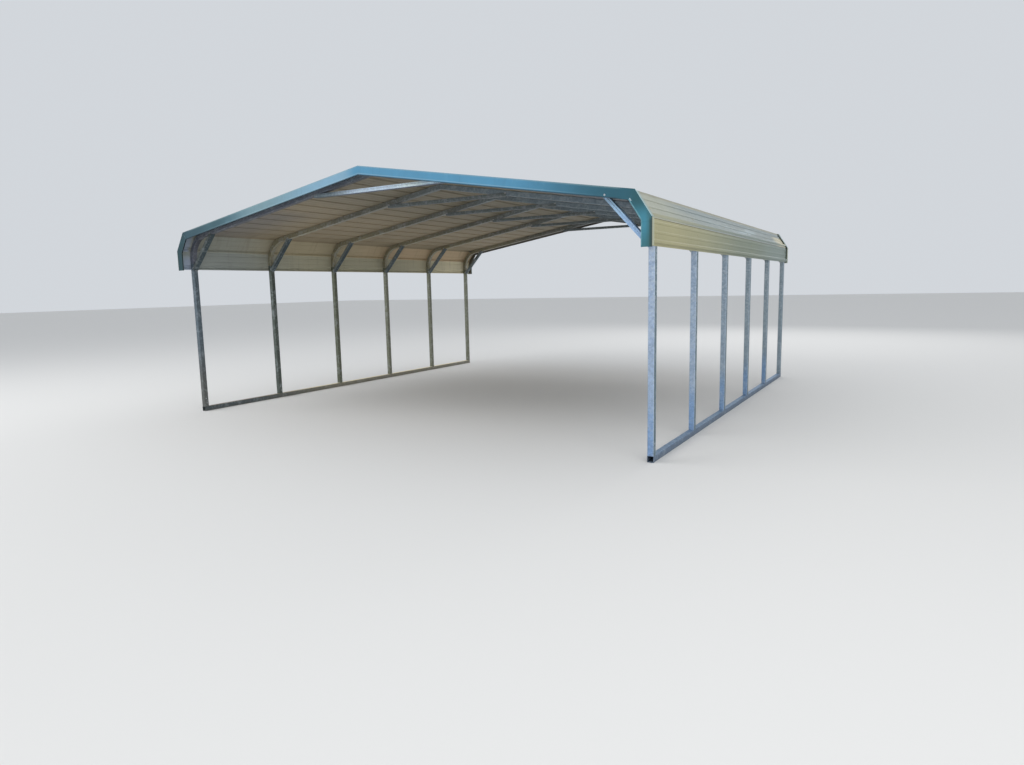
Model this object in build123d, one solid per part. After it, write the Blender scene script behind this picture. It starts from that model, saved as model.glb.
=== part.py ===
from build123d import *
import math
import os

# An open carport: six galvanised tube frames on two base rails, roofed with
# ribbed steel sheets that run from front to rear and turn down at the eaves.
# Millimetres. X to the right, Y to the rear, Z up from the ground, with the
# origin in the middle of the footprint. The right half is drawn, the left is
# its mirror image.

# Driving dimensions
FRAME_WIDTH = 6096.0  # over the outer faces of the legs, 20 ft
FRAME_LENGTH = 6096.0  # length of a base rail, 20 ft
LEG_LENGTH = 1828.8  # 6 ft
FRAMES = 6
TUBE = 57.15  # square tube of 14 gauge, 2 1/4 in
TUBE_WALL = 2.1
TUBE_CORNER = 5.0
SOCKET_PLAY = 0.6  # between a leg's bore and what slides into it
SOCKET_DEPTH = 150.0
SWAGE_SHOULDER = 12.0  # solid step in the bow's foot, on the leg's top
ROOF_ANGLE = 9.462  # degrees, a rise of 2 in 12
BOW_BEND = 304.8  # radius of the bow's bend, on its centre line
BOW_NECK = 50.0  # straight part of the bow between the leg and the bend

SHEET = 1.0
OVERHANG = 152.4  # of the sheets past the end frames
SIDE_DROP = 220.0  # of the side sheet below its lower crease
FACET_ANGLE = 32.6  # degrees that the sheet leans in at its lower crease
RIB_HEIGHT = 19.0
RIB_BASE = 46.0
RIB_CROWN = 18.0
MINOR_HEIGHT = 3.0
MINOR_BASE = 26.0
MINOR_CROWN = 14.0
FIRST_RIB = 36.0  # from the sheet's lower edge
FACET_RIB = 44.9  # above the lower crease
ROOF_RIB = 26.5  # above the upper crease
RIDGE_RIB = 185.3  # last rib, short of the ridge
ROOF_RIBS = 13  # major ribs on the slope, 9 in apart
SHEET_RIBS = 4  # major ribs in the cover width of one sheet
LAP_PLAY = 0.3  # between lapped sheets
RIDGE_LAP = 80.0
RIDGE_STEP = 6.0  # run over which the lap at the ridge climbs

TRIM_FACE = 89.0
TRIM_DROP = 11.0  # of the trim below the sheet's edge
TRIM_RETURN = 18.0  # depth of the trim over the sheets
TRIM_HEM = 12.0
STRIP_WIDTH = 55.0
STRIP_SETBACK = 12.0

BRACE_SIDE = 38.0  # the channel's two sides, which straddle the tubes
BRACE_WALL = 1.6
BRACE_PLAY = 0.3  # between a brace and the tubes
BRACE_BEAD = 2.5  # height of the bead along each side
BRACE_BEAD_BASE = 12.0
CORNER_BRACE_DROP = 79.0  # of its lower end below the leg's top
CORNER_BRACE_RUN = 397.0  # across, from that end to the end under the bow
PEAK_BRACE_LENGTH = 1710.0
PEAK_BRACE_OFFSET = 60.0  # of its middle to the right of the ridge

# Worked out from them
half_width = FRAME_WIDTH / 2
half_tube = TUBE / 2
bay = (FRAME_LENGTH - TUBE) / (FRAMES - 1)
frame_places = [-bay * (FRAMES - 1) / 2 + bay * index for index in range(FRAMES)]
sheet_length = FRAME_LENGTH + 2 * OVERHANG
leg_top = TUBE + LEG_LENGTH
roof_rise = math.tan(math.radians(ROOF_ANGLE))
bow_line_x = half_width - half_tube
bend_start = leg_top + BOW_NECK
bend_turn = 90 - ROOF_ANGLE
bend_tangent = BOW_BEND * math.tan(math.radians(bend_turn / 2))
bow_ridge = bend_start + bend_tangent + bow_line_x * roof_rise
bore = TUBE - 2 * TUBE_WALL
plug = bore - 2 * SOCKET_PLAY


def arc_point(radius, turn):
    """Point at a turn from the level around the centre of the bow's bend."""
    angle = math.radians(turn)
    centre_x = bow_line_x - BOW_BEND
    return Vector(centre_x + radius * math.cos(angle), bend_start + radius * math.sin(angle))


def tangent_corner(radius, turn_a, turn_b):
    """Where the tangents at two turns of the bend's outer face meet."""
    half = math.radians((turn_b - turn_a) / 2)
    return arc_point(radius / math.cos(half), (turn_a + turn_b) / 2)


# The skin's inner face on the right half: foot, lower crease, upper crease, ridge
outer_bend = BOW_BEND + half_tube
lower_crease = tangent_corner(outer_bend, 0, FACET_ANGLE)
upper_crease = tangent_corner(outer_bend, FACET_ANGLE, bend_turn)
ridge_height = bow_ridge + half_tube / math.cos(math.radians(ROOF_ANGLE))
skin_line = [
    Vector(half_width, lower_crease.Y - SIDE_DROP),
    lower_crease,
    upper_crease,
    Vector(0, ridge_height),
]


def outward(start, end):
    """Unit normal to the right of a stretch that runs up the right half."""
    run = (end - start).normalized()
    return Vector(run.Y, -run.X)


def mitred(points, amount, last_normal=None):
    """The line moved outward by an amount, with mitred corners."""
    normals = [outward(a, b) for a, b in zip(points, points[1:])]
    before = [normals[0]] + normals
    after = normals + [last_normal or normals[-1]]
    moved = []
    for point, a, b in zip(points, before, after):
        middle = (a + b).normalized()
        moved.append(point + middle * (amount / middle.dot(a)))
    return moved


def band(points, inner, outer, last_normal=None):
    """Closed outline between two offsets of a line."""
    near = mitred(points, inner, last_normal)
    far = mitred(points, outer, last_normal)
    return near + list(reversed(far))


def along_y(outline, start, depth):
    """Solid of an outline in X and Z, from a place on Y to the rear."""
    corners = [Vector(point.X, start, point.Y) for point in outline]
    face = make_face(Polyline(*corners, close=True))
    return extrude(face, amount=depth, dir=(0, 1, 0))


def skin_lengths():
    """Developed distance of each corner of the skin from its foot."""
    lengths = [0.0]
    for a, b in zip(skin_line, skin_line[1:]):
        lengths.append(lengths[-1] + (b - a).length)
    return lengths


def skin_point(distance, height=0.0):
    """Point of the skin, away from its creases."""
    lengths = skin_lengths()
    for index in range(len(skin_line) - 1):
        if distance <= lengths[index + 1] or index == len(skin_line) - 2:
            a, b = skin_line[index], skin_line[index + 1]
            run = (b - a).normalized()
            return a + run * (distance - lengths[index]) + outward(a, b) * height
    return skin_line[-1]


def rib(centre, base, crown, height):
    """The four corners of a rib, going up the skin."""
    halves = [(-base / 2, 0), (-crown / 2, height), (crown / 2, height), (base / 2, 0)]
    return [(centre + offset, rise) for offset, rise in halves]


def lapping_rib(centre):
    """A rib grown to lie over the one below it, without its lower foot's far side."""
    growth = SHEET + LAP_PLAY
    flank_run = (RIB_BASE - RIB_CROWN) / 2
    flank = math.hypot(flank_run, RIB_HEIGHT)
    slide = growth * (flank - flank_run) / RIB_HEIGHT
    foot_slide = growth * flank / RIB_HEIGHT
    return [
        (centre - RIB_BASE / 2 - foot_slide + growth * flank_run / RIB_HEIGHT, growth),
        (centre - RIB_CROWN / 2 - slide, RIB_HEIGHT + growth),
        (centre + RIB_CROWN / 2 + slide, RIB_HEIGHT + growth),
        (centre + RIB_BASE / 2 + foot_slide, 0),
    ]


def rib_places():
    """Developed places of the major ribs: one on the side, one on the facet, then the slope's."""
    foot, lower, upper, ridge = skin_lengths()
    start = upper + ROOF_RIB
    pitch = (ridge - RIDGE_RIB - start) / (ROOF_RIBS - 1)
    return [foot + FIRST_RIB, lower + FACET_RIB] + [start + pitch * step for step in range(ROOF_RIBS)]


def sheet_line(first, last, laps_lower, to_ridge):
    """Inner face of one sheet, from one major rib to another."""
    lengths = skin_lengths()
    places = rib_places()
    marks = []
    for number in range(first, last + 1):
        place = places[number]
        spacing = places[number + 1] - place if number < len(places) - 1 else place - places[number - 1]
        if number == first and laps_lower:
            marks += lapping_rib(place)
        elif number == last and not to_ridge:
            marks += rib(place, RIB_BASE, RIB_CROWN, RIB_HEIGHT)[:3]
            flank = RIB_BASE / 2 - RIB_CROWN / 2
            marks.append((place + RIB_CROWN / 2 + flank * 0.7, RIB_HEIGHT * 0.3))
        else:
            marks += rib(place, RIB_BASE, RIB_CROWN, RIB_HEIGHT)
        for share in (1 / 3, 2 / 3):
            centre = place + spacing * share
            crossed = any(abs(centre - length) < MINOR_BASE for length in lengths[1:3])
            past_end = number == last and (not to_ridge or centre > lengths[3] - RIDGE_LAP - MINOR_BASE)
            if not crossed and not past_end:
                marks += rib(centre, MINOR_BASE, MINOR_CROWN, MINOR_HEIGHT)
    points = [(distance, skin_point(distance, height)) for distance, height in marks]
    points += [(lengths[i], skin_line[i]) for i in (1, 2) if marks[0][0] < lengths[i] < marks[-1][0]]
    if first == 0:
        points.append((0.0, skin_line[0]))
    points.sort(key=lambda entry: entry[0])
    return [point for distance, point in points]


def mirrored(shape):
    return mirror(shape, about=Plane.YZ)


def sheet(first, last, laps_lower=True, to_ridge=False, over_ridge=False):
    """One ribbed sheet of the right half, as long as the roof."""
    line = sheet_line(first, last, laps_lower, to_ridge)
    if to_ridge and over_ridge:
        fall = Vector(-1, -roof_rise).normalized()
        lift = Vector(-roof_rise, 1).normalized() * (SHEET + LAP_PLAY)
        ridge = skin_line[-1]
        line += [ridge, ridge + fall * RIDGE_STEP + lift, ridge + fall * RIDGE_LAP + lift]
    elif to_ridge:
        line.append(skin_point(skin_lengths()[3] - RIDGE_STEP - SHEET))
    return along_y(band(line, 0, SHEET), -sheet_length / 2, sheet_length)


def square_section(size, corner):
    return RectangleRounded(size, size, corner)


def tube_section(size, wall, corner):
    """Hollow square section of a rolled tube."""
    inner = size - 2 * wall
    return square_section(size, corner) - square_section(inner, corner - wall)


def upright_tube(size, wall, x, y, bottom, top):
    section = Pos(x, y, bottom) * tube_section(size, wall, TUBE_CORNER)
    return extrude(section, amount=top - bottom, dir=(0, 0, 1))


def base_rail():
    """Ground tube with open ends."""
    lying = Plane(origin=(bow_line_x, -FRAME_LENGTH / 2, half_tube), x_dir=(1, 0, 0), z_dir=(0, 1, 0))
    return extrude(lying * tube_section(TUBE, TUBE_WALL, TUBE_CORNER), amount=FRAME_LENGTH)


def rail_stub(place):
    """Short tube welded on the rail, that a leg slips over."""
    return upright_tube(plug, TUBE_WALL, bow_line_x, place, TUBE, TUBE + SOCKET_DEPTH)


def leg(place):
    return upright_tube(TUBE, TUBE_WALL, bow_line_x, place, TUBE, leg_top)


def bow(place):
    """Half of a roof bow, bent at the eave, with a swaged end down in the leg."""
    start = Vector(bow_line_x, place, leg_top)
    neck_end = Vector(bow_line_x, place, bend_start)
    bend_end = arc_point(BOW_BEND, bend_turn)
    past_ridge = Vector(-TUBE, bow_ridge + TUBE * roof_rise)
    middle = arc_point(BOW_BEND, bend_turn / 2)
    bend = ThreePointArc(neck_end, (middle.X, place, middle.Y), (bend_end.X, place, bend_end.Y))
    rafter = Line((bend_end.X, place, bend_end.Y), (past_ridge.X, place, past_ridge.Y))
    path = Wire([Line(start, neck_end).edge(), bend.edge(), rafter.edge()])
    section = Pos(start.X, start.Y, start.Z) * tube_section(TUBE, TUBE_WALL, TUBE_CORNER)
    tube = sweep(section, path=path)
    tube = split(tube, bisect_by=Plane.YZ, keep=Keep.TOP)
    shoulder_top = leg_top + SWAGE_SHOULDER
    tube += upright_tube(TUBE - TUBE_WALL, TUBE_WALL * 2, start.X, place, leg_top, shoulder_top)
    tube += upright_tube(plug, TUBE_WALL, start.X, place, leg_top - SOCKET_DEPTH, shoulder_top)
    return tube


def brace_outline():
    """Section of a brace: distance from its web, and distance along Y."""
    inner = half_tube + BRACE_PLAY
    outer = inner + BRACE_WALL
    lip = BRACE_SIDE - BRACE_WALL
    middle = (lip - BRACE_WALL) / 2
    bead = BRACE_BEAD_BASE / 2
    side = [(-BRACE_WALL, outer), (middle - bead, outer), (middle, outer + BRACE_BEAD)]
    side += [(middle + bead, outer), (lip, outer), (lip, inner)]
    side += [(middle + bead, inner), (middle, inner + BRACE_BEAD)]
    side += [(middle - bead, inner), (0, inner)]
    return side + [(u, -v) for u, v in reversed(side)]


def brace(start, end, place):
    """Channel that straddles a frame's tubes, with its web between two points of X and Z."""
    run = end - start
    direction = Vector(run.X, 0, run.Y).normalized()
    across = Vector(direction.Z, 0, -direction.X)
    origin = Vector(start.X, place, start.Y)
    corners = [origin + across * u + Vector(0, 1, 0) * v for u, v in brace_outline()]
    return extrude(make_face(Polyline(*corners, close=True)), amount=run.length, dir=direction)


def under_bow(x):
    """Height just under the bow, at a distance from the ridge."""
    return bow_ridge - half_tube / math.cos(math.radians(ROOF_ANGLE)) - x * roof_rise - BRACE_PLAY


def corner_brace(place):
    low = Vector(half_width - TUBE - BRACE_PLAY, leg_top - CORNER_BRACE_DROP)
    high_x = low.X - CORNER_BRACE_RUN
    return brace(low, Vector(high_x, under_bow(high_x)), place)


def peak_brace(place):
    """Level brace that meets the bow at the end further from the ridge."""
    half = PEAK_BRACE_LENGTH / 2
    height = under_bow(half + abs(PEAK_BRACE_OFFSET))
    return brace(Vector(PEAK_BRACE_OFFSET + half, height), Vector(PEAK_BRACE_OFFSET - half, height), place)


def trim():
    """Front trim of the right half: an upright face, a return over the sheets and a hem."""
    lapped_crown = RIB_HEIGHT + 2 * SHEET + 2 * LAP_PLAY
    foot = skin_line[0] - Vector(0, TRIM_DROP)
    line = [foot] + skin_line[1:]
    end = -sheet_length / 2 - SHEET
    outer = lapped_crown + SHEET
    inner = outer - TRIM_FACE
    shape = along_y(ridge_trimmed(line, inner, outer), end, SHEET)
    shape += along_y(ridge_trimmed(line, lapped_crown, outer), end, TRIM_RETURN)
    shape += along_y(ridge_trimmed(line, inner, inner + SHEET), end, TRIM_HEM)
    return shape


def ridge_trimmed(line, inner, outer):
    """Band along the right half that ends on the upright plane of the ridge."""
    normal = outward(*line[-2:])
    return band(line, inner, outer, last_normal=Vector(-normal.X, normal.Y))


def end_strip():
    """Flat strip over the rib ends of the side sheet, behind the front trim."""
    crown = RIB_HEIGHT + SHEET
    outline = band(skin_line[:3], crown, crown + SHEET)
    return along_y(outline, -sheet_length / 2 + STRIP_SETBACK, STRIP_WIDTH)


def rear(shape):
    return mirror(shape, about=Plane.XZ)


def group(shapes):
    """Like pieces that don't touch, under one name."""
    return Compound(children=[solid for shape in shapes for solid in shape.solids()])


pieces = {}


def both_sides(name, shape):
    """A right-hand piece and its mirror image."""
    pieces[name.format("right")] = shape
    pieces[name.format("left")] = mirrored(shape)


both_sides("base_rail_{}", base_rail())
both_sides("rail_stubs_{}", group(rail_stub(place) for place in frame_places))
for number, place in enumerate(frame_places, 1):
    both_sides("leg_{}_" + str(number), leg(place))
    both_sides("bow_{}_" + str(number), bow(place))
both_sides("corner_braces_{}", group(corner_brace(place) for place in frame_places))
pieces["peak_braces"] = group(peak_brace(place) for place in frame_places)

last_rib = len(rib_places()) - 1
sheet_names = ["side_sheet_{}", "lower_roof_sheet_{}", "upper_roof_sheet_{}"]
for index, name in enumerate(sheet_names):
    first = index * SHEET_RIBS
    both_sides(name, sheet(first, first + SHEET_RIBS, laps_lower=index > 0))
top_first = len(sheet_names) * SHEET_RIBS
pieces["ridge_sheet_right"] = sheet(top_first, last_rib, to_ridge=True, over_ridge=True)
pieces["ridge_sheet_left"] = mirrored(sheet(top_first, last_rib, to_ridge=True))

both_sides("front_trim_{}", trim())
both_sides("rear_trim_{}", rear(trim()))
both_sides("end_strips_{}", group([end_strip(), rear(end_strip())]))

os.makedirs("parts", exist_ok=True)
for name, shape in pieces.items():
    export_step(shape, f"parts/{name}.step")
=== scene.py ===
import math
import random

import bpy
from mathutils import Matrix, Quaternion, Vector


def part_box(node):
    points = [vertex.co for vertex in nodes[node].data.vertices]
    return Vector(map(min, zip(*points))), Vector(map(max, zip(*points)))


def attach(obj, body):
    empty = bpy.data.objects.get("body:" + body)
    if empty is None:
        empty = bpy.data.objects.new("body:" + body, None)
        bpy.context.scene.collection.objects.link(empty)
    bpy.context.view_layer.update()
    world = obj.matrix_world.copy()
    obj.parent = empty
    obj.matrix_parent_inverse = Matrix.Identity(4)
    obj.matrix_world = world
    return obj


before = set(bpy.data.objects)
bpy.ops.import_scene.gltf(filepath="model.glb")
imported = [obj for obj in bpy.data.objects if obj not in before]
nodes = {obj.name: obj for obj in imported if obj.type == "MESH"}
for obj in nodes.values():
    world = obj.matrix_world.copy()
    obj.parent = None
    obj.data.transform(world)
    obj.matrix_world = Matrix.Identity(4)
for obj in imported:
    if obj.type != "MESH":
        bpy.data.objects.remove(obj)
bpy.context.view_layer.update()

# Base rails and the stubs on them: 2 1/4 in square tube, rolled from galvanised strip,
# lying on the ground with open ends. A short swaged stub is welded on under each leg.
# Their zinc finish is the one that the whole frame has.


class Wire:
    """A socket of a finish, so that sums on what varies read as sums."""

    def __init__(self, finish, socket):
        self.finish = finish
        self.socket = socket

    def sum(self, operation, *terms):
        """The result of a new Math node."""
        return self.finish.node("Math", {"operation": operation}, dict(enumerate(terms)))

    def __add__(self, other):
        return self.sum("ADD", self, other)

    def __radd__(self, other):
        return self.sum("ADD", other, self)

    def __sub__(self, other):
        return self.sum("SUBTRACT", self, other)

    def __rsub__(self, other):
        return self.sum("SUBTRACT", other, self)

    def __mul__(self, other):
        return self.sum("MULTIPLY", self, other)

    def __rmul__(self, other):
        return self.sum("MULTIPLY", other, self)

    def __truediv__(self, other):
        return self.sum("DIVIDE", self, other)

    def __abs__(self):
        return self.sum("ABSOLUTE", self)

    def fraction(self):
        return self.sum("FRACT", self)

    def above(self, limit):
        return self.sum("GREATER_THAN", self, limit)

    def fade(self, low, high):
        """0 at low, 1 at high, smooth between."""
        ends = {"From Min": low, "From Max": high, "Value": self}
        return self.finish.node("MapRange", {"interpolation_type": "SMOOTHSTEP"}, ends)


class Finish:
    """A surface finish, built up node by node. Its places are metres in the part's frame."""

    def __init__(self, name):
        self.material = bpy.data.materials.new(name)
        self.material.use_nodes = True
        self.tree = self.material.node_tree
        self.shader = self.tree.nodes["Principled BSDF"]
        self.place = self.node("TexCoord", {}, {}, "Object")
        self.facing = self.node("TexCoord", {}, {}, "Normal")

    def node(self, kind, settings, sockets, outlet=0):
        """Adds a node, sets it up, and gives its sockets values or wires."""
        made = self.tree.nodes.new("ShaderNode" + kind)
        for name, value in settings.items():
            setattr(made, name, value)
        for name, value in sockets.items():
            self.fill(made.inputs[name], value)
        return Wire(self, made.outputs[outlet])

    def fill(self, inlet, value):
        if isinstance(value, Wire):
            self.tree.links.new(value.socket, inlet)
        else:
            inlet.default_value = value

    def axis(self, name, source=None):
        """One part of the place on the object, or of another vector."""
        return self.node("SeparateXYZ", {}, {0: source or self.place}, name)

    def stretched(self, x, y, z):
        """The place on the object with its axes scaled, for patterns that run one way."""
        return self.node("Mapping", {}, {"Vector": self.place, "Scale": (x, y, z)})

    def noise(self, scale, detail=3.0, where=None):
        """Uneven grey, its scale in lumps a metre unless the place given is stretched."""
        sockets = {"Vector": where or self.place, "Scale": scale, "Detail": detail, "Roughness": 0.55}
        return self.node("TexNoise", {}, sockets, "Fac")

    def mix(self, amount, first, second):
        """Colour that goes from first to second."""
        return self.node("Mix", {"data_type": "RGBA"}, {0: amount, 6: first, 7: second}, 2)

    def shaded(self, colour, amount):
        """Colour multiplied by a grey that varies."""
        grey = self.node("CombineColor", {}, {0: amount, 1: amount, 2: amount})
        settings = {"data_type": "RGBA", "blend_type": "MULTIPLY"}
        return self.node("Mix", settings, {0: 1.0, 6: colour, 7: grey}, 2)

    def raised(self, height, distance, strength=1.0):
        """Gives the shader a relief, in metres."""
        bump = {"Height": height, "Distance": distance, "Strength": strength}
        self.fill(self.shader.inputs["Normal"], self.node("Bump", {}, bump))

    def set(self, **sockets):
        for name, value in sockets.items():
            self.fill(self.shader.inputs[name.replace("_", " ")], value)


def paint(red, green, blue):
    """A colour as it is seen on a screen, 0 to 255, in the shader's own units."""
    shares = [value / 255 for value in (red, green, blue)]
    return (*[s / 12.92 if s < 0.04045 else ((s + 0.055) / 1.055) ** 2.4 for s in shares], 1.0)


def zinc_finish(name, tone_of, along):
    """Hot-dipped strip: grey crystals, rolling streaks, dull patches, dried mud at the ground."""
    zinc = Finish(name)
    crystal = zinc.node("TexVoronoi", {"feature": "F1"}, {"Vector": zinc.place, "Scale": 80.0}, "Color")
    grain = zinc.axis("X", crystal)
    patches = zinc.noise(7.0, 4.0)
    blotches = zinc.noise(34.0, 5.0)
    streak = zinc.noise(1.0, 3.0, zinc.stretched(*along))
    height = zinc.axis("Z")
    light = 0.50 + grain * 0.26 + blotches * 0.48 + patches * 0.14 + streak * 0.14
    colour = zinc.shaded(tone_of(zinc), light)
    dull = (patches * 0.6 + blotches * 0.6).fade(0.58, 0.74)
    colour = zinc.mix(dull * 0.25, colour, paint(178, 186, 192))
    mud = (1.0 - (height + blotches * 0.10).fade(0.035, 0.15)) * (0.25 + blotches * 0.5)
    colour = zinc.mix(mud, colour, paint(100, 100, 96))
    speck = zinc.noise(240.0, 2.0).fade(0.70, 0.78) * (1.0 - height.fade(0.02, 0.30)) * 0.7
    colour = zinc.mix(speck, colour, paint(112, 70, 42))
    zinc.set(Base_Color=colour, Metallic=0.50 - mud * 0.5 - dull * 0.15)
    zinc.set(Roughness=0.38 + grain * 0.10 + patches * 0.12 + mud * 0.3)
    zinc.raised(grain * 0.3 + blotches * 0.5 + mud, 0.0006)
    return zinc.material


def even_grey(zinc, tone):
    """Plain zinc on the faces that look to the left or to the rear, away from the sun."""
    away = (zinc.axis("X", zinc.facing) * -1.0).above(0.5) + zinc.axis("Y", zinc.facing).above(0.5)
    return zinc.mix(away, tone, paint(146, 156, 164))


def dress(names, material):
    """Gives CAD nodes their finish."""
    for name in names:
        for slot in nodes[name].material_slots:
            slot.material = material


sides = {"left": -1, "right": 1}
frame_numbers = range(1, 7)


def rail_tone(zinc):
    """Painted light and shade: blue-grey painted sky light on the right; on the left painted shade, dull at
    the front, with pale dust and painted light on top to the rear.
    """
    left = 1.0 - zinc.axis("X").above(0.0)
    top = zinc.axis("Z", zinc.facing).above(0.7)
    to_rear = zinc.axis("Y").fade(-2.5, -0.6)
    # Pale dust on the left rail's top to the rear, brightened further as painted light; the left rail's
    # other faces get painted shade.
    dust_and_skylight = zinc.mix(to_rear, paint(119, 105, 84), paint(254, 242, 202))
    shaded = zinc.mix(to_rear, paint(74, 86, 90), paint(148, 143, 124))
    bluer = zinc.mix(to_rear, paint(116, 145, 175), paint(104, 138, 171))
    right = zinc.mix(top, paint(100, 124, 152), bluer)
    return even_grey(zinc, zinc.mix(left, right, zinc.mix(top, shaded, dust_and_skylight)))


rail_zinc = zinc_finish("zinc_rail", rail_tone, (60.0, 3.0, 60.0))
dress([f"{piece}_{side}" for piece in ("base_rail", "rail_stubs") for side in sides], rail_zinc)

# Legs: six a side, 6 ft of the same tube, slipped over the stubs and held by three
# self-drilling screws each, with hexagon heads pressed from zinc-plated steel.
leg_low, leg_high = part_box("leg_right_1")
tube = leg_high.x - leg_low.x
half_width = leg_high.x
leg_line = half_width - tube / 2
leg_foot = leg_low.z
leg_top = leg_high.z


def leg_tone(zinc):
    """Painted light and shade: bright on the open right side with a painted highlight on the front corner,
    painted shade on the faces turned out and on the whole left.
    """
    x, y = zinc.axis("X"), zinc.axis("Y")
    # Painted light on the right legs: brighter and bluer to the front, duller to the rear, bluer towards the
    # foot.
    right = zinc.mix(y.fade(-3.0, 0.8), paint(154, 173, 198), paint(138, 154, 164))
    low = (1.0 - zinc.axis("Z").fade(0.25, 0.60)) * (1.0 - y.fade(1.8, 2.8))
    right = zinc.mix(low * 0.65, right, paint(112, 150, 196))
    # A painted highlight on the right legs' front outer corner, and painted shade on their outer faces.
    ahead = (zinc.axis("Y", zinc.facing) * -1.0).above(0.7)
    corner_highlight = x.fade(half_width - 0.007, half_width - 0.003)
    right = zinc.mix(ahead * corner_highlight * 0.5, right, paint(206, 222, 240))
    right = zinc.mix(zinc.axis("X", zinc.facing).above(0.7), right, paint(98, 120, 130))
    # Painted shade on the left legs, deepest just behind the front frame, warmer and paler to the rear.
    left = zinc.mix(zinc.axis("Z").fade(0.3, 1.0), paint(98, 100, 98), paint(94, 107, 116))
    left = zinc.mix(y.fade(-2.8, -2.1), left, paint(84, 92, 86))
    left = zinc.mix(y.fade(-1.6, -0.9), left, paint(100, 104, 88))
    left = zinc.mix(y.fade(-0.5, 0.4), left, paint(119, 121, 105))
    bloom = zinc.noise(48.0, 4.0).fade(0.50, 0.64) * zinc.axis("Z").fade(0.6, 1.5)
    right = zinc.mix(bloom * 0.4, right, paint(198, 208, 216))
    return even_grey(zinc, zinc.mix(x.above(0.0), left, right))


leg_zinc = zinc_finish("zinc_leg", leg_tone, (60.0, 60.0, 3.0))
dress([f"leg_{side}_{number}" for side in sides for number in frame_numbers], leg_zinc)

SCREW_FLANGE = 0.0066
SCREW_HEAD = 0.0046
SCREW_RISE = 0.0050
SCREW_SEAT = 0.0012
HEXAGON_REACH = 0.97  # this and the next three are shares of the head's radius
HEXAGON_NEAR = 0.2
CHAMFER_WIDTH = 0.16
CHAMFER_FALL = 0.12
NEAR_TOP = 0.95  # share of a height above which a corner or face is on top
SMOOTH_BELOW = math.radians(35)
dice = random.Random(11)


def deselect():
    for thing in bpy.context.selected_objects:
        thing.select_set(False)


def pick(thing, chooser, mode="FACE"):
    """Selects the faces or corners of a mesh in edit mode by where they are."""
    bpy.ops.object.mode_set(mode="EDIT")
    bpy.ops.mesh.select_mode(type=mode)
    bpy.ops.mesh.select_all(action="DESELECT")
    bpy.ops.object.mode_set(mode="OBJECT")
    parts = thing.data.polygons if mode == "FACE" else thing.data.vertices
    for part in parts:
        part.select = chooser(part.center if mode == "FACE" else part.co)
    bpy.ops.object.mode_set(mode="EDIT")


def new_screw(name, flange, head, rise, seat):
    """A screw head that looks up Z: a round flange with a hexagon on it, its rim chamfered."""
    deselect()
    bpy.ops.mesh.primitive_cylinder_add(vertices=12, radius=flange, depth=seat, location=(0, 0, seat / 2))
    screw = bpy.context.object
    screw.name = name
    pick(screw, lambda centre: centre.z > seat * NEAR_TOP)
    bpy.ops.mesh.inset(thickness=flange - head)
    bpy.ops.mesh.extrude_region_move(TRANSFORM_OT_translate={"value": (0, 0, rise - seat)})
    bpy.ops.object.mode_set(mode="OBJECT")
    flat = math.cos(math.radians(30))
    near = head * HEXAGON_NEAR
    for turn in range(6):
        angle = math.radians(60 * turn + 30)
        spot = Vector((math.sin(angle), math.cos(angle))) * head * HEXAGON_REACH
        pick(screw, lambda co: co.z > seat * NEAR_TOP and (co.xy - spot).length < near, "VERT")
        bpy.ops.transform.resize(value=(flat, flat, 1), center_override=(0, 0, 0))
        bpy.ops.object.mode_set(mode="OBJECT")
    pick(screw, lambda centre: centre.z > rise * NEAR_TOP)
    bpy.ops.mesh.inset(thickness=head * CHAMFER_WIDTH, depth=0.0)
    bpy.ops.object.mode_set(mode="OBJECT")
    inside = head * (1 - CHAMFER_WIDTH)
    pick(screw, lambda co: co.z > rise * NEAR_TOP and co.xy.length > inside, "VERT")
    bpy.ops.transform.translate(value=(0, 0, -head * CHAMFER_FALL))
    bpy.ops.object.mode_set(mode="OBJECT")
    return screw


def place_copies(name, pattern, moves, material):
    """Copies a pattern by each move, a matrix, and joins the copies to one piece."""
    copies = []
    for move in moves:
        copy = pattern.copy()
        copy.data = pattern.data.copy()
        bpy.context.collection.objects.link(copy)
        copy.data.transform(move)
        copies.append(copy)
    deselect()
    for copy in copies:
        copy.select_set(True)
    bpy.context.view_layer.objects.active = copies[0]
    bpy.ops.object.join()
    joined = bpy.context.object
    joined.name = name
    joined.data.name = name
    joined.data.materials.clear()
    joined.data.materials.append(material)
    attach(joined, "root")


def drive_screws(name, pattern, places, material):
    """Sets screws at places, each a point and the way it looks, turned by chance."""
    moves = []
    for point, outward in places:
        turn = Vector(outward).to_track_quat("Z", "Y") @ Quaternion((0, 0, 1), dice.uniform(0, math.pi / 3))
        moves.append(Matrix.LocRotScale(Vector(point), turn, None))
    place_copies(name, pattern, moves, material)
    bpy.ops.object.shade_smooth_by_angle(angle=SMOOTH_BELOW)


def screw_finish(name, tone, metal):
    """Plated or painted screw heads, rubbed unevenly bright, some starting to rust."""
    plating = Finish(name)
    wear = plating.noise(300.0, 3.0)
    spots = plating.noise(38.0, 4.0)
    colour = plating.shaded(tone, 0.82 + wear * 0.30)
    rust = spots.fade(0.60, 0.72) * (0.3 + wear * 0.7)
    colour = plating.mix(rust, colour, paint(120, 74, 44))
    plating.set(Base_Color=colour, Metallic=metal - rust * metal, Roughness=0.34 + wear * 0.15 + rust * 0.4)
    plating.raised(wear, 0.0002)
    return plating.material


tube_screw = new_screw("tube_screw", SCREW_FLANGE, SCREW_HEAD, SCREW_RISE, SCREW_SEAT)
zinc_screws = screw_finish("zinc_screw", paint(188, 192, 196), 0.75)

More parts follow.
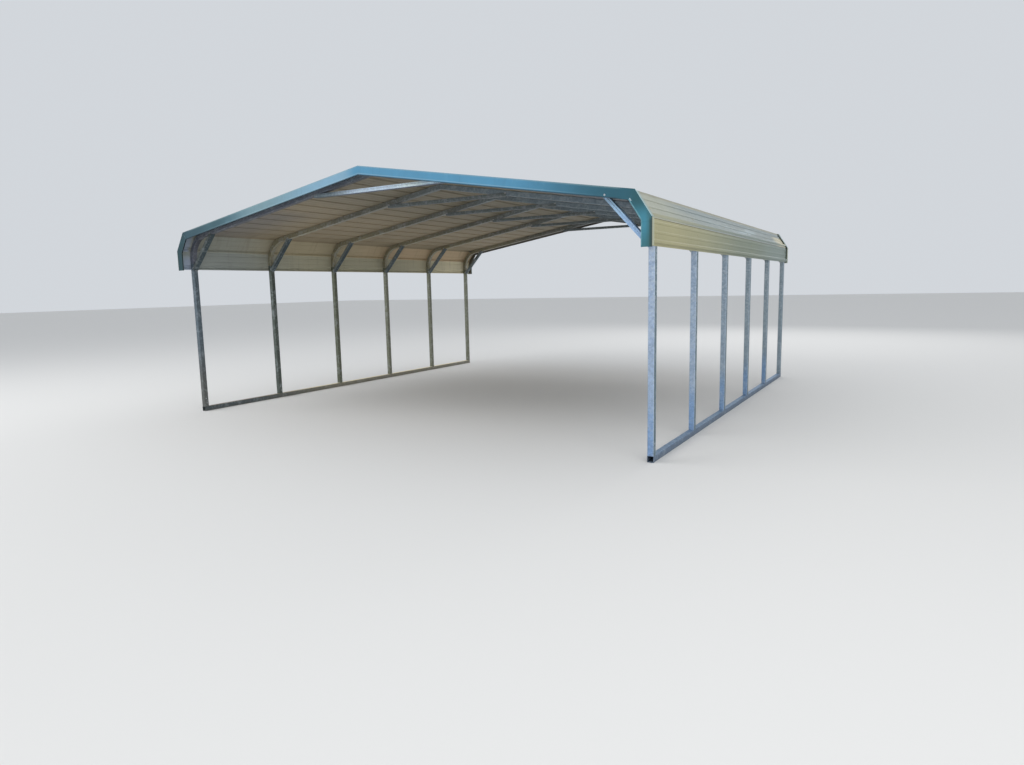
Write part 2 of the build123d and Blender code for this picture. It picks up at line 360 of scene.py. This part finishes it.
frame_ys = [sum(corner.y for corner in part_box(f"leg_right_{number}")) / 2 for number in frame_numbers]
FOOT_SCREW_RISES = (0.045, 0.105)
FOOT_SCREW_SHIFTS = (0.004, -0.006)  # off the leg's middle, as drilled by hand
for side, sign in sides.items():
    places = []
    inner_face = sign * (half_width - tube)
    outer_face = sign * half_width
    for y in frame_ys:
        for rise, shift in zip(FOOT_SCREW_RISES, FOOT_SCREW_SHIFTS):
            places.append(((inner_face, y + shift, leg_foot + rise), (-sign, 0, 0)))
        places.append(((outer_face, y, leg_foot + FOOT_SCREW_RISES[1]), (sign, 0, 0)))
    drive_screws(f"leg_foot_screws_{side}", tube_screw, places, zinc_screws)

# Bows: two bent halves a frame, their swaged ends down in the legs, held by screws
# through the leg's top, and butted together at the ridge with a weld all round.


def bow_tone(zinc):
    """Painted light and shade: warm grey at the left, bluer painted sky light over the right half and on the
    front bow, painted shade on the front bow's left bend and underside.
    """
    x = zinc.axis("X")
    warm = zinc.mix(x.fade(-2.4, -1.3), paint(148, 143, 122), paint(122, 122, 114))
    front = 1.0 - zinc.axis("Y").fade(-2.95, -2.4)
    warm = zinc.mix(front * 0.8, warm, paint(130, 140, 158))
    tone = zinc.mix(x.fade(-1.2, 0.8), warm, paint(128, 142, 152))
    # Painted shade on the front bow's left bend and on its downward faces.
    bend_shade = front * x.fade(-2.6, -2.8)
    tone = zinc.mix(bend_shade * 0.7, tone, paint(100, 102, 114))
    beneath = (zinc.axis("Z", zinc.facing) * -1.0).fade(0.2, 0.9)
    return zinc.mix(front * beneath * 0.9, tone, paint(66, 68, 78))


bow_zinc = zinc_finish("zinc_bow", bow_tone, (3.0, 60.0, 14.0))
dress([f"bow_{side}_{number}" for side in sides for number in frame_numbers], bow_zinc)
JOINT_SCREW_DROPS = (0.030, 0.085)
for side, sign in sides.items():
    places = []
    inner_face = sign * (half_width - tube)
    for y in frame_ys:
        for drop in JOINT_SCREW_DROPS:
            places.append(((inner_face, y, leg_top - drop), (-sign, 0, 0)))
        places.append(((sign * leg_line, y + tube / 2, leg_top - JOINT_SCREW_DROPS[1]), (0, 1, 0)))
    drive_screws(f"leg_top_screws_{side}", tube_screw, places, zinc_screws)

ROOF_ANGLE = math.radians(9.462)
WELD_WIDTH = 0.007
WELD_PROUD = 0.0016
WELD_ROUND = 0.0032
WELD_WAVER = 0.0006
ridge_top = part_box("bow_right_1")[1].z
cut_height = tube / math.cos(ROOF_ANGLE)


def new_weld():
    """A bead round the tube, uneven as a hand weld is."""
    deselect()
    bpy.ops.mesh.primitive_cube_add(size=1)
    weld = bpy.context.object
    weld.scale = (WELD_WIDTH, tube + 2 * WELD_PROUD, cut_height + 2 * WELD_PROUD)
    bpy.ops.object.transform_apply(scale=True)
    bpy.ops.object.mode_set(mode="EDIT")
    bpy.ops.mesh.select_all(action="SELECT")
    bpy.ops.mesh.bevel(offset=WELD_ROUND, segments=2, affect="EDGES")
    bpy.ops.mesh.subdivide(number_cuts=3)
    bpy.ops.object.mode_set(mode="OBJECT")
    for corner in weld.data.vertices:
        corner.co.x += dice.uniform(-WELD_WAVER, WELD_WAVER)
    return weld


weld_pattern = new_weld()
weld_finish = Finish("weld_bead")
beads = weld_finish.noise(140.0, 3.0)
weld_tone = weld_finish.mix(beads.fade(0.45, 0.65), paint(120, 124, 126), paint(96, 78, 62))
weld_finish.set(Base_Color=weld_tone, Metallic=0.5 + beads * 0.2, Roughness=0.45 + beads * 0.3)
weld_finish.raised(beads, 0.001)
weld_moves = [Matrix.Translation((0, y, ridge_top - cut_height / 2)) for y in frame_ys]
place_copies("ridge_welds", weld_pattern, weld_moves, weld_finish.material)
bpy.data.objects.remove(weld_pattern)

# Corner and peak braces: channel rolled from thin galvanised strip with a bead along each
# side. Their sides straddle the tubes, and screws go through both into the tube.


def brace_tone(zinc):
    """Painted light where it looks ahead on the front frame's right, duller on the rest, with painted shade
    on the left and on the faces turned away.
    """
    x = zinc.axis("X")
    front = 1.0 - zinc.axis("Y").fade(-3.0, -2.4)
    bright = front * x.fade(-0.55, -0.20)
    # Painted sky light on the front frame's braces where they look ahead, palest on the right.
    sky_lit = zinc.mix(x.fade(0.25, 0.50), paint(198, 216, 232), paint(232, 250, 255))
    sky_lit = zinc.mix(x.fade(0.60, 0.80), sky_lit, paint(208, 236, 255))
    corner = zinc.mix(zinc.axis("Z").fade(2.03, 2.14), paint(158, 192, 230), paint(180, 216, 246))
    sky_lit = zinc.mix(x.fade(1.2, 2.4), sky_lit, corner)
    ahead = (zinc.axis("Y", zinc.facing) * -1.0).above(0.5)
    # Painted shade on the other braces, deepest on the left; faces turned away get darker painted shade.
    dull = zinc.mix(x.fade(-2.2, -1.2), paint(98, 105, 104), paint(140, 156, 166))
    outside = zinc.mix(bright, zinc.mix(front, paint(112, 120, 122), dull), sky_lit)
    foot = x.above(2.5) * (1.0 - zinc.axis("Z").above(1.85)) * (1.0 - front)
    outside = zinc.mix(foot, outside, paint(186, 194, 192))
    shaded = zinc.mix(bright, paint(62, 76, 82), paint(66, 82, 108))
    return zinc.mix(ahead, shaded, outside)


brace_zinc = zinc_finish("zinc_brace", brace_tone, (22.0, 60.0, 22.0))
dress(["corner_braces_left", "corner_braces_right", "peak_braces"], brace_zinc)
BRACE_WALL = 0.0016
BRACE_PLAY = 0.0003
CORNER_DROP = 0.079
CORNER_RUN = 0.397
SCREW_FROM_WEB = 0.030
END_SCREWS = (0.0065, 0.0215)
brace_side = tube / 2 + BRACE_PLAY + BRACE_WALL
under_ridge = ridge_top - cut_height - BRACE_PLAY
corner_low = Vector((half_width - tube - BRACE_PLAY, leg_top - CORNER_DROP))
corner_high_x = corner_low.x - CORNER_RUN
corner_high = Vector((corner_high_x, under_ridge - corner_high_x * math.tan(ROOF_ANGLE)))
corner_way = (corner_high - corner_low).normalized()
corner_out = Vector((corner_way.y, -corner_way.x))
for side, sign in sides.items():
    places = []
    for y in frame_ys:
        for end, way in ((corner_low, corner_way), (corner_high, -corner_way)):
            for reach in END_SCREWS:
                spot = end + way * reach + corner_out * SCREW_FROM_WEB
                for face in (-1, 1):
                    places.append(((sign * spot.x, y + face * brace_side, spot.y), (0, face, 0)))
    drive_screws(f"corner_brace_screws_{side}", tube_screw, places, zinc_screws)

peak_low, peak_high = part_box("peak_braces")
places = []
for y in frame_ys:
    for end, way in ((peak_low.x, 1), (peak_high.x, -1)):
        for reach in END_SCREWS:
            for face in (-1, 1):
                spot = (end + way * reach, y + face * brace_side, peak_low.z + BRACE_WALL + SCREW_FROM_WEB)
                places.append((spot, (0, face, 0)))
drive_screws("peak_brace_screws", tube_screw, places, zinc_screws)

# Roof and side sheets: 36 in ribbed panels of thin steel, painted tan on top with a grey
# wash coat beneath, lapped one rib over the next and screwed to each frame beside the ribs.
SIDE_DROP = 0.220
FACET = 0.2457
FACET_ANGLE = math.radians(32.6)
sheet_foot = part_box("side_sheet_right")[0].z
facet_way = Vector((-math.sin(FACET_ANGLE), math.cos(FACET_ANGLE)))
LOWER_CREASE = Vector((half_width, sheet_foot + SIDE_DROP))
UPPER_CREASE = LOWER_CREASE + facet_way * FACET
RIDGE = Vector((0.0, ridge_top))
RIB_PITCH = 0.2286
ROOF_RIBS = 13
ROOF_RIB = 0.0265
slope_way = (RIDGE - UPPER_CREASE).normalized()


def sheet_finish():
    """Baked tan paint, chalked and stained by age, with painted sky reflection, painted light and painted
    shade on top, and a grey-brown wash coat beneath carrying painted light and shade.
    """
    coat = Finish("tan_sheet_paint")
    x, y, z = coat.axis("X"), coat.axis("Y"), coat.axis("Z")
    facing_x, facing_z = coat.axis("X", coat.facing), coat.axis("Z", coat.facing)
    across = abs(x)
    hand = x.above(0.0) * 2.0 - 1.0
    on_slope = 1.0 - across.above(UPPER_CREASE.x + 0.004)
    facet_x, facet_z = math.cos(FACET_ANGLE), math.sin(FACET_ANGLE)
    out_x = facet_x + on_slope * (math.sin(ROOF_ANGLE) - facet_x)
    out_z = facet_z + on_slope * (math.cos(ROOF_ANGLE) - facet_z)
    outside = (facing_x * hand * out_x + facing_z * out_z).above(0.0)
    chalk = coat.noise(2.2, 5.0)
    runs = coat.noise(1.0, 4.0, coat.stretched(2.0, 16.0, 2.0))
    lengthwise = coat.noise(1.0, 4.0, coat.stretched(6.0, 0.7, 14.0))
    fine = coat.noise(60.0, 3.0)
    to_rear = y.fade(-2.8, 0.4)
    on_facet = z.above(LOWER_CREASE.y + 0.006) * (1.0 - on_slope)

    # Painted shade on the side sheets, deeper and greener towards the rear.
    side = coat.mix(to_rear, paint(168, 163, 123), paint(128, 138, 120))
    side = coat.mix(y.fade(0.6, 2.2), side, paint(131, 145, 138))
    # The facet's grey-blue carries painted sky reflection, paler in lengthwise patches over its middle, with
    # painted shade over its upper part.
    facet = coat.mix(y.fade(-2.9, -1.3), paint(146, 150, 132), paint(118, 131, 128))
    up_facet = (z - LOWER_CREASE.y) / (UPPER_CREASE.y - LOWER_CREASE.y)
    midway = 1.0 - abs(up_facet - 0.5).fade(0.10, 0.32)
    sky_sheen = lengthwise.fade(0.46, 0.66) * to_rear * (0.15 + midway * 0.6)
    facet = coat.mix(sky_sheen, facet, paint(160, 178, 182))
    upper = up_facet.fade(0.45, 0.85) * y.fade(-2.7, -1.7)
    facet = coat.mix(upper * 0.65, facet, paint(98, 116, 118))
    rear_patch = y.fade(2.25, 2.7) * (1.0 - up_facet.fade(0.62, 0.80))
    facet = coat.mix(rear_patch * 0.8, facet, paint(206, 196, 160))
    slope = coat.mix(chalk.fade(0.45, 0.65) * 0.4, paint(172, 166, 134), paint(186, 182, 160))
    slope = coat.mix(across.fade(2.80, 2.90), slope, paint(158, 160, 144))
    top = coat.mix(on_slope, coat.mix(on_facet, side, facet), slope)
    top = coat.shaded(top, 0.86 + chalk * 0.20 + runs * 0.08)
    top = coat.mix(runs.fade(0.55, 0.80) * 0.25, top, paint(126, 122, 98))
    slope_place = (UPPER_CREASE.x - ROOF_RIB - across) / (RIB_PITCH * math.cos(ROOF_ANGLE))
    beside_rib = abs(slope_place.fraction() - 0.5) * 2.0
    dust = beside_rib.fade(0.45, 0.95) * on_slope * (0.25 + runs * 0.5)
    top = coat.mix(dust * 0.55, top, paint(120, 112, 90))
    # Painted light on the downward flank of the facet's first rib, near the lower crease.
    down_flank_lit = facing_z.fade(0.0, -0.3) * on_facet * (1.0 - z.above(LOWER_CREASE.y + 0.06))
    flank_light_tone = coat.mix(to_rear, paint(184, 184, 158), paint(152, 164, 156))
    top = coat.mix(down_flank_lit * 0.8, top, flank_light_tone)
    # A painted shadow along the lower crease, where the facet's first rib shades it.
    crease = 1.0 - abs(z - LOWER_CREASE.y).fade(0.0015, 0.0055)
    top = coat.mix(crease * 0.85, top, paint(74, 70, 50))

    # The wash coat's tones carry painted light and shade: the walls paler to the rear and bluer at the front
    # foot, the facets' insides bluer at the front, the underside warmer at the left, greyer at the front
    # left and to the right, with painted shade at both ends under the trims.
    wall = coat.mix(y.fade(-2.6, -0.9), paint(152, 158, 154), paint(182, 179, 156))
    wall = coat.mix(y.fade(0.6, 2.9), wall, paint(222, 214, 184))
    front_low = (1.0 - y.fade(-3.05, -2.90)) * (1.0 - z.fade(1.92, 2.02))
    wall = coat.mix(front_low, wall, paint(156, 168, 184))
    inner_facet = coat.mix(y.fade(-2.6, -1.4), paint(148, 150, 140), paint(174, 163, 135))
    inner_facet = coat.mix(y.fade(-0.8, 1.2), inner_facet, paint(194, 172, 140))
    inner_facet = coat.mix(1.0 - y.fade(-3.10, -3.04), inner_facet, paint(154, 166, 182))
    under = coat.mix(x.fade(-1.9, -0.6), paint(150, 137, 113), paint(131, 124, 107))
    under = coat.mix(x.fade(1.0, 2.2), under, paint(116, 120, 126))
    cool = (1.0 - y.fade(-2.7, -1.9)) * (1.0 - x.fade(-1.9, -1.4))
    under = coat.mix(cool * 0.9, under, paint(122, 118, 112))
    under = coat.mix(abs(y).fade(3.00, 3.05) * 0.8, under, paint(62, 62, 74))
    back = coat.mix(on_slope, coat.mix(on_facet, wall, inner_facet), under)
    back = coat.shaded(back, 0.84 + chalk * 0.24 + fine * 0.08)
    back = coat.mix(runs.fade(0.5, 0.8) * 0.25, back, paint(92, 86, 76))
    coat.set(Base_Color=coat.mix(outside, back, top))
    coat.set(Roughness=0.56 - outside * 0.12 + fine * 0.08 + dust * 0.25)
    coat.set(Specular_IOR_Level=0.35)
    coat.raised(coat.noise(5.0, 2.0, coat.stretched(1.0, 0.35, 1.0)) + fine * 0.02, 0.006, 0.5)
    return coat.material


sheet_paint = sheet_finish()
sheet_kinds = ("side_sheet", "lower_roof_sheet", "upper_roof_sheet", "ridge_sheet")
dress([f"{kind}_{side}" for kind in sheet_kinds for side in sides], sheet_paint)

WASHER = 0.0080
WASHER_THICK = 0.0020
SHEET_SCREW_RISE = 0.0062
sheet_screw = new_screw("sheet_screw", WASHER, SCREW_HEAD, SHEET_SCREW_RISE, WASHER_THICK)
tan_screws = screw_finish("tan_screw", paint(176, 166, 130), 0.15)
SHEET_GAUGE = 0.001
SIDE_SCREW_RISES = (0.075, 0.150)
FACET_SCREW = 0.098
RIB_SIDE = 0.038
slope_out = Vector((slope_way.y, -slope_way.x))
facet_out = Vector((facet_way.y, -facet_way.x))
for side, sign in sides.items():
    places = []
    for y in frame_ys:
        for rise in SIDE_SCREW_RISES:
            spot = (sign * (half_width + SHEET_GAUGE), y, sheet_foot + rise)
            places.append((spot, (sign, 0, 0)))
        spot = LOWER_CREASE + facet_way * FACET_SCREW + facet_out * SHEET_GAUGE
        places.append(((sign * spot.x, y, spot.y), (sign * facet_out.x, 0, facet_out.y)))
        for step in range(ROOF_RIBS):
            spot = UPPER_CREASE + slope_way * (ROOF_RIB + RIB_PITCH * step + RIB_SIDE)
            spot += slope_out * SHEET_GAUGE
            places.append(((sign * spot.x, y, spot.y), (sign * slope_out.x, 0, slope_out.y)))
    drive_screws(f"sheet_screws_{side}", sheet_screw, places, tan_screws)

# End strips: flat painted strips that cover the ribs' ends at the four corners,
# the same steel as the sheets in a paler coat.
strip_coat = Finish("cream_strip_paint")
strip_chalk = strip_coat.noise(9.0, 4.0)
strip_runs = strip_coat.noise(1.0, 3.0, strip_coat.stretched(30.0, 30.0, 3.0))
# The strips' facet part is bluer, as painted sky reflection.
strip_high = strip_coat.axis("Z").above(LOWER_CREASE.y + 0.004)
strip_tone = strip_coat.mix(strip_high, paint(174, 178, 154), paint(122, 144, 142))
strip_tone = strip_coat.shaded(strip_tone, 0.88 + strip_chalk * 0.20)
strip_coat.set(Base_Color=strip_coat.mix(strip_runs.fade(0.5, 0.8) * 0.35, strip_tone, paint(150, 144, 120)))
strip_coat.set(Roughness=0.40 + strip_chalk * 0.15)
strip_coat.raised(strip_chalk, 0.002, 0.4)
dress(["end_strips_left", "end_strips_right"], strip_coat.material)

# Trim: teal painted angle round both ends of the roof, cut and folded at each crease, with
# a hemmed lower edge, a lap over each facet and over the ridge, a bare cut tab at the
# right upper crease and a screw beside it.
TRIM_PROUD = 0.0226
TRIM_FACE = 0.089
TRIM_DROP = 0.011
SLOPE_LINE = RIDGE.y * math.cos(ROOF_ANGLE)


def trim_finish():
    """Baked teal paint with a painted sky sheen towards the ridge and painted shade on the left, its back in
    the grey wash coat.
    """
    coat = Finish("teal_trim_paint")
    x, y, z = coat.axis("X"), coat.axis("Y"), coat.axis("Z")
    across = abs(x)
    # Painted sky sheen, pale blue towards the ridge; the left half in painted shade, with its own paler
    # painted sheen near the ridge.
    ridge_sheen = 1.0 - across.fade(1.6, 2.8)
    left = 1.0 - x.fade(-0.22, -0.02)
    chalk = coat.noise(6.0, 5.0)
    runs = coat.noise(1.0, 4.0, coat.stretched(34.0, 8.0, 5.0))
    fine = coat.noise(90.0, 3.0)
    colour = coat.mix(ridge_sheen, paint(32, 86, 102), paint(74, 137, 171))
    left_sheen = coat.mix(across.fade(0.4, 1.5), paint(120, 160, 184), paint(113, 144, 154))
    colour = coat.mix(left * ridge_sheen, colour, left_sheen)
    colour = coat.mix(left * across.fade(1.5, 2.3), colour, paint(53, 88, 98))
    colour = coat.mix(left * across.fade(2.4, 2.7), colour, paint(44, 76, 88))
    # The side and facet pieces: tones by height carrying painted light, painted shade along the outer
    # return, and painted shade over the whole left.
    turned_down = across.fade(2.84, 2.96)
    side = coat.mix(1.0 - z.fade(2.01, 2.18), paint(34, 83, 92), paint(60, 128, 148))
    side = coat.mix(1.0 - z.fade(1.80, 1.98), side, paint(52, 108, 118))
    side = coat.mix(across.fade(half_width - 0.038, half_width + 0.007) * 0.6, side, paint(48, 88, 90))
    side = coat.mix(left, side, paint(26, 62, 70))
    colour = coat.mix(turned_down, colour, side)
    colour = coat.shaded(colour, 0.84 + chalk * 0.26 + fine * 0.06)
    colour = coat.mix(runs.fade(0.55, 0.78) * 0.20, colour, paint(50, 88, 96))
    colour = coat.mix(chalk.fade(0.58, 0.74) * 0.18, colour, paint(122, 164, 178))
    # Darker along the outer edge, below the lower crease.
    outer_edge_dark = across.fade(half_width - 0.002, half_width + 0.012) * (1.0 - z.fade(2.00, 2.05))
    colour = coat.mix(outer_edge_dark * 0.8, colour, paint(40, 64, 60))
    up_face = z * math.cos(ROOF_ANGLE) + across * math.sin(ROOF_ANGLE)
    on_slope = 1.0 - across.fade(2.75, 2.85)
    # A painted highlight along the slope pieces' upper edge.
    top_edge_highlight = up_face.fade(SLOPE_LINE + 0.006, SLOPE_LINE + 0.020) * on_slope
    colour = coat.mix(top_edge_highlight * 0.35, colour, paint(150, 172, 172))
    lower_edge = SLOPE_LINE + TRIM_PROUD - TRIM_FACE
    # A painted highlight just above the hemmed lower edge, and a painted shadow on its lowest strip.
    hem_highlight = (1.0 - abs(up_face - lower_edge - 0.015).fade(0.002, 0.006)) * ridge_sheen
    colour = coat.mix(hem_highlight * 0.3, colour, paint(158, 188, 200))
    hem_shadow = (1.0 - up_face.fade(lower_edge + 0.006, lower_edge + 0.010)) * on_slope
    colour = coat.mix(hem_shadow * 0.8, colour, paint(34, 60, 72))
    upward = coat.axis("Z", coat.facing)
    sideways = abs(coat.axis("X", coat.facing))
    at_rear = y.above(0.0)
    # The returns get painted shade at the front and paler painted light at the rear, upward-turned returns a
    # painted sky reflection, and downward faces near-black painted shade.
    shaded_return = coat.mix(at_rear, paint(30, 50, 44), paint(120, 145, 142))
    colour = coat.mix(sideways.above(0.95), colour, shaded_return)
    colour = coat.mix(upward.above(0.3) * sideways.above(0.6), colour, paint(150, 186, 190))
    beneath = (upward * -1.0).above(0.3)
    colour = coat.mix(beneath, colour, paint(16, 26, 34))
    hand = at_rear * 2.0 - 1.0
    back = (coat.axis("Y", coat.facing) * hand * -1.0).above(0.5)
    past_side = across.above(half_width + SHEET_GAUGE) * (1.0 - z.above(LOWER_CREASE.y))
    up_from_facet = (across - LOWER_CREASE.x) * facet_out.x + (z - LOWER_CREASE.y) * facet_out.y
    past_facet = up_from_facet.above(SHEET_GAUGE) * (1.0 - z.above(UPPER_CREASE.y))
    past_slope = up_face.above(SLOPE_LINE + SHEET_GAUGE) * z.above(UPPER_CREASE.y)
    # The wash coat, painted paler as painted light where it shows past the sheets.
    wash = coat.mix(past_side + past_facet + past_slope, paint(116, 112, 100), paint(196, 206, 196))
    wash = coat.shaded(wash, 0.80 + chalk * 0.30)
    coat.set(Base_Color=coat.mix(back, colour, wash))
    coat.set(Roughness=0.38 + chalk * 0.18 + fine * 0.06 + beneath * 0.5)
    coat.set(Specular_IOR_Level=0.4)
    coat.raised(chalk + fine * 0.1, 0.003, 0.5)
    return coat.material


teal = trim_finish()
ends = {"front": -1, "rear": 1}
dress([f"{end}_trim_{side}" for end in ends for side in sides], teal)
trim_foot = Vector((half_width, sheet_foot - TRIM_DROP))


def trim_edge(amount):
    """The trim's line moved out by an amount: foot, lower crease, upper crease, ridge."""
    line = [trim_foot, LOWER_CREASE, UPPER_CREASE, RIDGE]
    outs = []
    for start, end in zip(line, line[1:]):
        way = (end - start).normalized()
        outs.append(Vector((way.y, -way.x)))
    before = [outs[0]] + outs
    after = outs + [Vector((-outs[-1].x, outs[-1].y))]
    moved = []
    for point, first, second in zip(line, before, after):
        middle = (first + second).normalized()
        moved.append(point + middle * (amount / middle.dot(first)))
    return moved


outer_edge = trim_edge(TRIM_PROUD)
inner_edge = trim_edge(TRIM_PROUD - TRIM_FACE)
front_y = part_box("front_trim_right")[0].y
LAP_PLATE = 0.0009
EDGE_SHARE = 0.3  # of a plate's thickness that its rounded edge takes


def new_plate(name, corners, sign, end, finish, gauge=LAP_PLATE):
    """Adds a thin plate on the face of a trim, its corners given in X and Z for the front right."""
    deselect()
    bpy.ops.mesh.primitive_plane_add(size=1)
    plate = bpy.context.object
    plate.name = name
    plate.data.name = name
    half = len(corners) // 2
    for column in range(2, half):
        last = max(corner.co.x for corner in plate.data.vertices)
        pick(plate, lambda co: co.x > last - 0.1, "VERT")
        bpy.ops.mesh.extrude_edges_move(TRANSFORM_OT_translate={"value": (1, 0, 0)})
        bpy.ops.object.mode_set(mode="OBJECT")
    columns = sorted(plate.data.vertices, key=lambda corner: (round(corner.co.x, 3), corner.co.y))
    for index in range(half):
        low, high = columns[2 * index], columns[2 * index + 1]
        inner, outer = corners[index], corners[len(corners) - 1 - index]
        low.co = (sign * inner.x, end * -front_y, inner.y)
        high.co = (sign * outer.x, end * -front_y, outer.y)
    bpy.ops.object.mode_set(mode="EDIT")
    bpy.ops.mesh.select_all(action="SELECT")
    bpy.ops.mesh.normals_make_consistent(inside=False)
    bpy.ops.object.mode_set(mode="OBJECT")
    if plate.data.polygons[0].normal.y * end < 0:
        plate.data.flip_normals()
    thick = plate.modifiers.new("gauge", "SOLIDIFY")
    thick.thickness = gauge
    thick.offset = 1.0
    bpy.ops.object.modifier_apply(modifier="gauge")
    edge = plate.modifiers.new("edge", "BEVEL")
    edge.width = gauge * EDGE_SHARE
    edge.segments = 2
    bpy.ops.object.modifier_apply(modifier="edge")
    plate.data.materials.clear()
    plate.data.materials.append(finish)
    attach(plate, "root")


FACET_LAP = 0.033
RIDGE_LAP = 0.290
HEM_BEAD = 0.010
TAB_LONG = 0.026
TAB_WIDE = 0.009
bead_edge = trim_edge(TRIM_PROUD - TRIM_FACE + HEM_BEAD)
# Hem bead paint: paler teal in patches as wear and painted highlight, dark on the left as painted shade.
hem_paint = Finish("hem_paint_wear_and_highlight")
hem_wear_and_glint = hem_paint.noise(40.0, 4.0)
hem_right = hem_paint.axis("X").above(0.0)
hem_tone = hem_paint.mix(hem_wear_and_glint.fade(0.3, 0.7), paint(66, 122, 136), paint(104, 154, 166))
hem_tone = hem_paint.mix(hem_right, paint(26, 58, 66), hem_tone)
hem_paint.set(Base_Color=hem_tone, Roughness=0.36 + hem_wear_and_glint * 0.2)
hem_paint.raised(hem_wear_and_glint, 0.001)
bare_fold = Finish("bare_fold")
fold_wear = bare_fold.noise(90.0, 4.0)
fold_tone = bare_fold.shaded(paint(170, 190, 198), 0.8 + fold_wear * 0.3)
bare_fold.set(Base_Color=fold_tone, Metallic=0.3 + fold_wear * 0.2, Roughness=0.3 + fold_wear * 0.2)
bare_fold.raised(fold_wear, 0.001)
for end_name, end in ends.items():
    for side, sign in sides.items():
        lap_z = LOWER_CREASE.y - FACET_LAP
        facet_round = [Vector((bead_edge[0].x, lap_z)), bead_edge[1], bead_edge[2]]
        facet_round += [outer_edge[2], outer_edge[1], Vector((outer_edge[0].x, lap_z))]
        new_plate(f"{end_name}_trim_fold_{side}", facet_round, sign, end, teal)
        hem_round = inner_edge[:3] + bead_edge[2::-1]
        new_plate(f"{end_name}_trim_hem_{side}", hem_round, sign, end, hem_paint.material)
    tab_round = [bead_edge[2], bead_edge[2] - facet_way * TAB_LONG]
    tab_round += [point + facet_out * TAB_WIDE for point in tab_round[::-1]]
    new_plate(f"{end_name}_trim_tab", tab_round, 1, end, bare_fold.material, 2 * LAP_PLATE)
    fall = Vector((RIDGE_LAP, -RIDGE_LAP * math.tan(ROOF_ANGLE)))
    ridge_round = [inner_edge[3], inner_edge[3] + fall, outer_edge[3] + fall, outer_edge[3]]
    new_plate(f"{end_name}_trim_ridge_lap", ridge_round, 1, end, teal)

TRIM_SCREW_X = 2.67
TRIM_SCREW_RISE = 0.020
screw_line = RIDGE + slope_out * (TRIM_PROUD - TRIM_FACE + TRIM_SCREW_RISE)
trim_screw_z = screw_line.y - (TRIM_SCREW_X - screw_line.x) * math.tan(ROOF_ANGLE)
places = [((TRIM_SCREW_X, end * -front_y, trim_screw_z), (0, end, 0)) for end in ends.values()]
drive_screws("trim_screws", sheet_screw, places, zinc_screws)

bpy.data.objects.remove(tube_screw)
bpy.data.objects.remove(sheet_screw)

# Floor, sky and lamps: a plain pale floor under plain soft light.
FLOOR_SIZE = 160
LAMP_AIM = Vector((0, 0, 1.4))
deselect()
bpy.ops.mesh.primitive_plane_add(size=FLOOR_SIZE)
floor = bpy.context.object
floor.name = "floor"
pale = Finish("pale_floor")
pale.set(Base_Color=(0.74, 0.73, 0.71, 1.0), Roughness=0.9)
floor.data.materials.append(pale.material)

world = bpy.data.worlds.new("pale_sky")
bpy.context.scene.world = world
world.use_nodes = True
sky = world.node_tree
background = sky.nodes["Background"]
background.inputs["Color"].default_value = (0.86, 0.90, 0.95, 1.0)
background.inputs["Strength"].default_value = 0.75

LAMPS = {
    "high_left": ((-7.0, -9.0, 9.0), 9.0, 620.0),
    "front_right": ((9.0, -10.0, 6.0), 8.0, 420.0),
    "rear": ((2.0, 12.0, 9.0), 10.0, 420.0),
}
for name, (spot, size, power) in LAMPS.items():
    lamp = bpy.data.lights.new(name, "AREA")
    lamp.size = size
    lamp.energy = power
    holder = bpy.data.objects.new(name, lamp)
    holder.location = spot
    holder.rotation_euler = (LAMP_AIM - Vector(spot)).to_track_quat("-Z", "Y").to_euler()
    bpy.context.collection.objects.link(holder)

# Camera: standing eye height, ahead of the right front corner, looking in across the
# bay and slightly down, with a moderate wide lens.
EYE = Vector((4.936, -8.5086, 1.4967))
YAW, PITCH, ROLL = 0.54001, -0.13698, -0.02114
LENS = 24.008
ahead = Vector((-math.sin(YAW) * math.cos(PITCH), math.cos(YAW) * math.cos(PITCH), math.sin(PITCH)))
level = Vector((math.cos(YAW), math.sin(YAW), 0))
upright = level.cross(ahead)
right = level * math.cos(ROLL) + upright * math.sin(ROLL)
up = upright * math.cos(ROLL) - level * math.sin(ROLL)
camera = bpy.data.objects.new("camera", bpy.data.cameras.new("camera"))
camera.data.sensor_fit = "HORIZONTAL"
camera.data.sensor_width = 36.0
camera.data.lens = LENS
turned = Matrix((right, up, -ahead)).transposed().to_4x4()
camera.matrix_world = Matrix.Translation(EYE) @ turned
bpy.context.collection.objects.link(camera)
bpy.context.scene.camera = camera
bpy.context.scene.view_settings.view_transform = "Standard"
